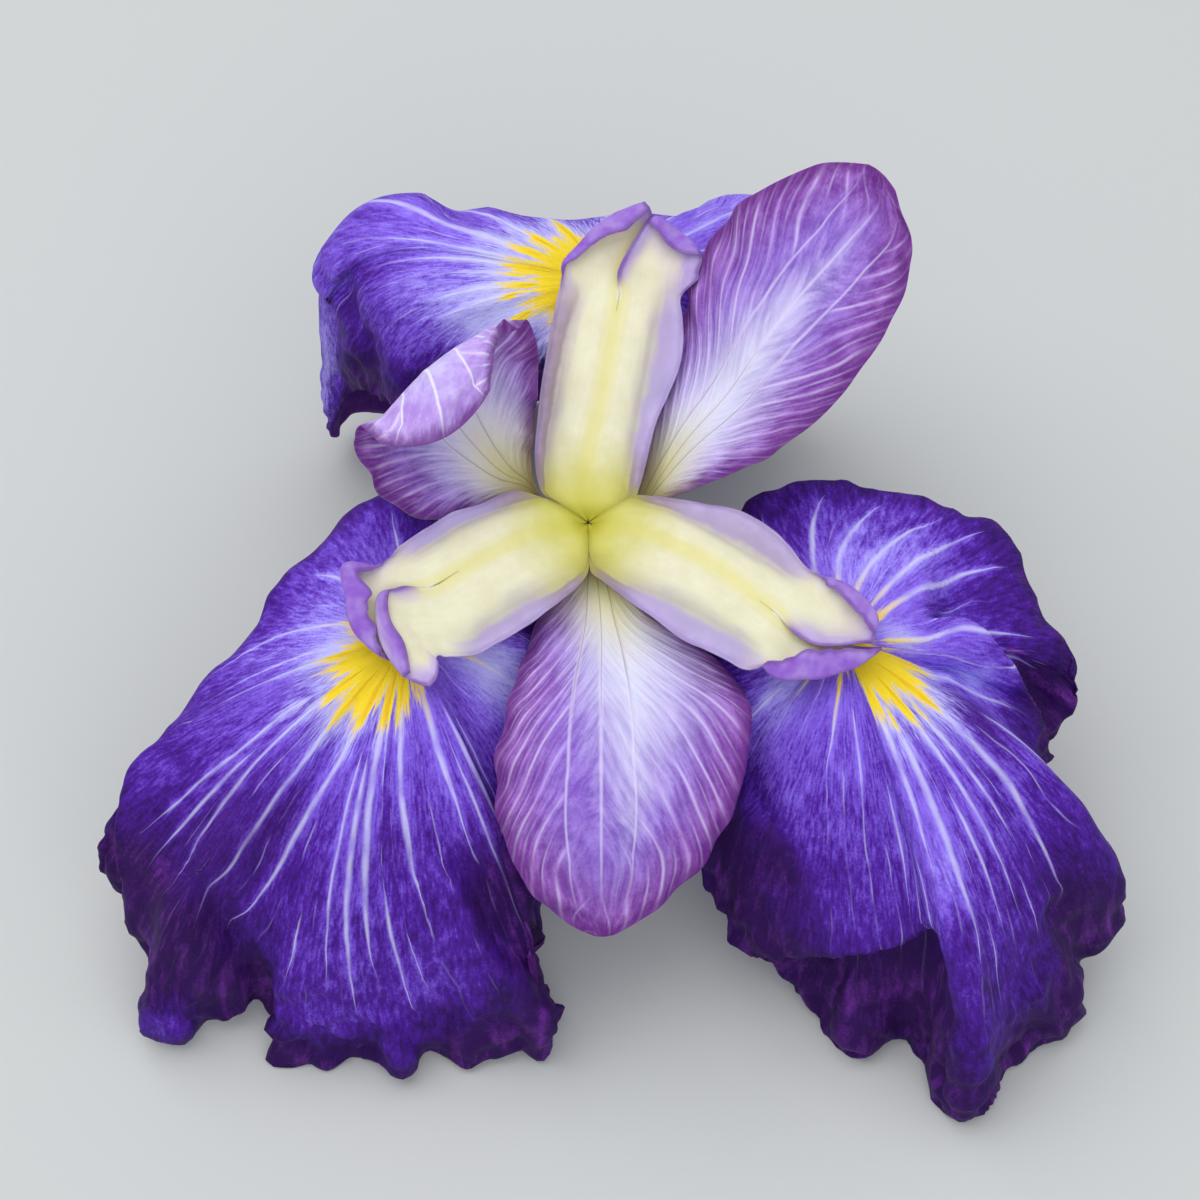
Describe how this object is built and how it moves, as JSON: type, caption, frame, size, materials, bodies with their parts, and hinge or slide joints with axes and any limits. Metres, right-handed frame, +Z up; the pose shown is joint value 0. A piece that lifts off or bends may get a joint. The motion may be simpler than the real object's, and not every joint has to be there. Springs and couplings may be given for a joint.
{
  "type": "japanese iris flower",
  "caption": "Picked japanese iris blossom resting face up on its falls: broad drooping falls, upright and spreading standards, crested style arms, short cut stem.",
  "frame": {"origin": "centre of the flower's footprint, on the surface it rests on", "axes": "+Z up, -Y towards the viewer and the front standard, +X to the viewer's right"},
  "size_m": [0.1576, 0.1402, 0.0979],
  "materials": {
    "fall_petal": "soft satin petal, violet with white veins and a yellow signal",
    "standard_petal": "soft satin petal, lavender with a magenta margin",
    "style_arm": "smooth waxy cream with lavender flanges and violet crests",
    "filament": "smooth pale stalk",
    "anther": "powdery pale cream",
    "perianth_tube": "smooth pale green plant tissue",
    "ovary": "satin green plant tissue",
    "stem": "satin green plant tissue, cut end paler"
  },
  "bodies": {
    "root": {"fall_left": "fall_petal", "fall_right": "fall_petal", "fall_rear": "fall_petal", "standard_front": "standard_petal", "standard_right": "standard_petal", "standard_left": "standard_petal", "style_arm_rear": "style_arm", "style_arm_left": "style_arm", "style_arm_right": "style_arm", "filament_rear": "filament", "filament_left": "filament", "filament_right": "filament", "anther_rear": "anther", "anther_left": "anther", "anther_right": "anther", "style_column": "style_arm", "perianth_tube": "perianth_tube", "ovary": "ovary", "stem": "stem"}
  },
  "joints": []
}
